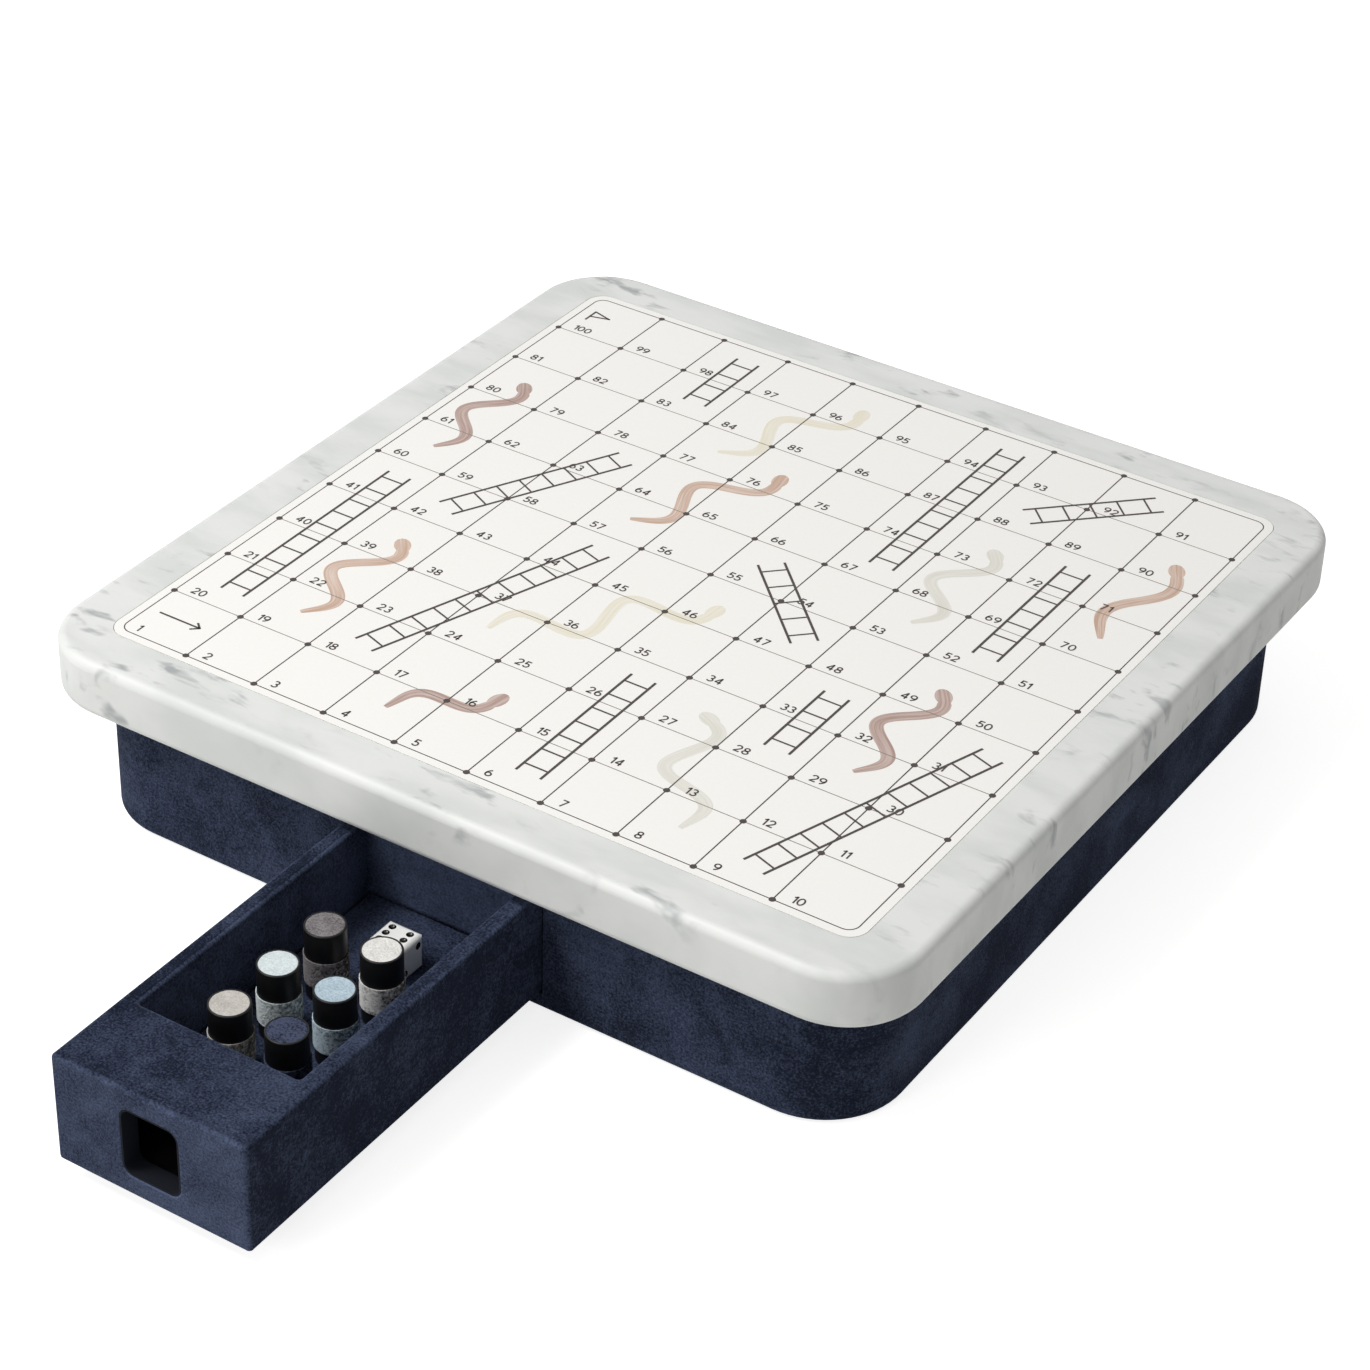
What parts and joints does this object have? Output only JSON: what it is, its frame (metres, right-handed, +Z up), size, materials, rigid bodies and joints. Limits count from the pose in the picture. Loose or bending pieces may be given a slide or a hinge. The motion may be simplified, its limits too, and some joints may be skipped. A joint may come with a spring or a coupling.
{
  "type": "snakes and ladders board",
  "caption": "Square marble game board with an inlaid numbered playing panel on a suede-covered box, with a front drawer for its pawns and die.",
  "frame": {"origin": "middle of the felt underside that the base stands on", "axes": "+Z up through the playing panel, -Y the way the drawer comes out, +X to the right as a player faces the drawer"},
  "size_m": [0.4, 0.564, 0.0874],
  "materials": {
    "white_marble": "honed white marble with soft grey veins",
    "printed_panel": "smooth off-white leather, printed",
    "black_fibreboard": "through-dyed black fibreboard, sanded",
    "navy_suede": "napped navy suede",
    "navy_felt": "pressed felt",
    "black_pull": "matte black",
    "pin_steel": "turned steel",
    "pawn_black": "turned, satin black",
    "die_white": "polished white",
    "pip_enamel": "black enamel",
    "suede_beige": "napped suede",
    "suede_ice": "napped suede",
    "suede_mauve": "napped suede",
    "suede_navy": "napped suede",
    "suede_sky": "napped suede",
    "suede_cream": "napped suede"
  },
  "bodies": {
    "board": {"marble_slab": "white_marble", "playing_panel": "printed_panel", "deck_panel": "black_fibreboard", "floor_board": "black_fibreboard", "underside_felt": "navy_felt", "left_wall": "black_fibreboard", "right_wall": "black_fibreboard", "back_wall": "black_fibreboard", "front_wall_left": "black_fibreboard", "front_wall_right": "black_fibreboard", "corner_post_front_left": "black_fibreboard", "corner_post_front_right": "black_fibreboard", "corner_post_back_left": "black_fibreboard", "corner_post_back_right": "black_fibreboard", "base_suede": "navy_suede", "drawer_guide_left": "black_fibreboard", "drawer_guide_right": "black_fibreboard", "drawer_stop_block": "black_fibreboard", "drawer_stop_felt": "navy_felt"},
    "drawer": {"drawer_front": "black_fibreboard", "drawer_left_side": "black_fibreboard", "drawer_right_side": "black_fibreboard", "drawer_back": "black_fibreboard", "drawer_bottom": "black_fibreboard", "drawer_cover": "black_fibreboard", "tray_front_wall": "black_fibreboard", "tray_back_wall": "black_fibreboard", "tray_floor": "navy_suede", "tray_lining": "navy_suede", "drawer_suede": "navy_suede", "pull_ring": "black_pull", "drawer_stop_pin": "pin_steel"},
    "die": {"die_body": "die_white", "die_pips": "pip_enamel"},
    "pawn_beige": {"pawn_beige_core": "pawn_black", "pawn_beige_band": "suede_beige", "pawn_beige_cap": "suede_beige"},
    "pawn_ice": {"pawn_ice_core": "pawn_black", "pawn_ice_band": "suede_ice", "pawn_ice_cap": "suede_ice"},
    "pawn_mauve": {"pawn_mauve_core": "pawn_black", "pawn_mauve_band": "suede_mauve", "pawn_mauve_cap": "suede_mauve"},
    "pawn_navy": {"pawn_navy_core": "pawn_black", "pawn_navy_band": "suede_navy", "pawn_navy_cap": "suede_navy"},
    "pawn_sky": {"pawn_sky_core": "pawn_black", "pawn_sky_band": "suede_sky", "pawn_sky_cap": "suede_sky"},
    "pawn_cream": {"pawn_cream_core": "pawn_black", "pawn_cream_band": "suede_cream", "pawn_cream_cap": "suede_cream"}
  },
  "joints": [
    {"name": "drawer_slide", "type": "slide", "parent": "board", "child": "drawer", "axis": [0, -1, 0], "range_m": [-0.178, 0]},
    {"name": "pawn_beige_lift", "type": "slide", "parent": "drawer", "child": "pawn_beige", "axis": [0, 0, 1], "range_m": [0, 0.05]},
    {"name": "pawn_ice_lift", "type": "slide", "parent": "drawer", "child": "pawn_ice", "axis": [0, 0, 1], "range_m": [0, 0.05]},
    {"name": "pawn_mauve_lift", "type": "slide", "parent": "drawer", "child": "pawn_mauve", "axis": [0, 0, 1], "range_m": [0, 0.05]},
    {"name": "pawn_navy_lift", "type": "slide", "parent": "drawer", "child": "pawn_navy", "axis": [0, 0, 1], "range_m": [0, 0.05]},
    {"name": "pawn_sky_lift", "type": "slide", "parent": "drawer", "child": "pawn_sky", "axis": [0, 0, 1], "range_m": [0, 0.05]},
    {"name": "pawn_cream_lift", "type": "slide", "parent": "drawer", "child": "pawn_cream", "axis": [0, 0, 1], "range_m": [0, 0.05]},
    {"name": "die_lift", "type": "slide", "parent": "drawer", "child": "die", "axis": [0, 0, 1], "range_m": [0, 0.05]}
  ]
}
